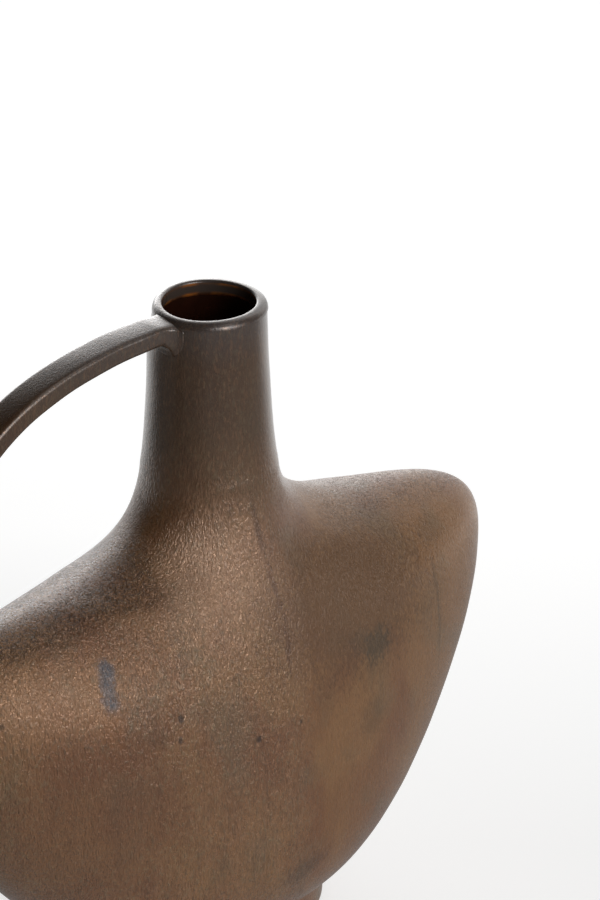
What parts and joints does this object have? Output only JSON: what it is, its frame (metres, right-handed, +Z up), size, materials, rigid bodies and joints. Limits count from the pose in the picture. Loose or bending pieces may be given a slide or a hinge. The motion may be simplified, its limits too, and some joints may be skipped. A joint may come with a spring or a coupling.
{
  "type": "ceramic vase",
  "caption": "Tall hollow ceramic vase with a wide winged body on an oval foot, a bottle neck and a strap handle from the rim to the left shoulder.",
  "frame": {"origin": "centre of the foot ring's underside, on the surface that the vase stands on", "axes": "+Z up along the neck, +X along the wide body to the right wing, away from the handle, and -Y to the front face"},
  "size_m": [0.3384, 0.124, 0.33],
  "materials": {
    "bronze_glaze": "satin metallic bronze glaze, fine crystals and streaks",
    "dark_glaze": "darker, thinner bronze glaze, nearly gunmetal",
    "lining_glaze": "glossy near-black brown",
    "foot_clay": "thinly glazed outside, bare fired clay underneath"
  },
  "bodies": {
    "root": {"rear_shell": "bronze_glaze", "front_shell": "bronze_glaze", "neck": "dark_glaze", "handle": "dark_glaze", "foot_ring": "foot_clay", "floor_slab": "lining_glaze"}
  },
  "joints": []
}
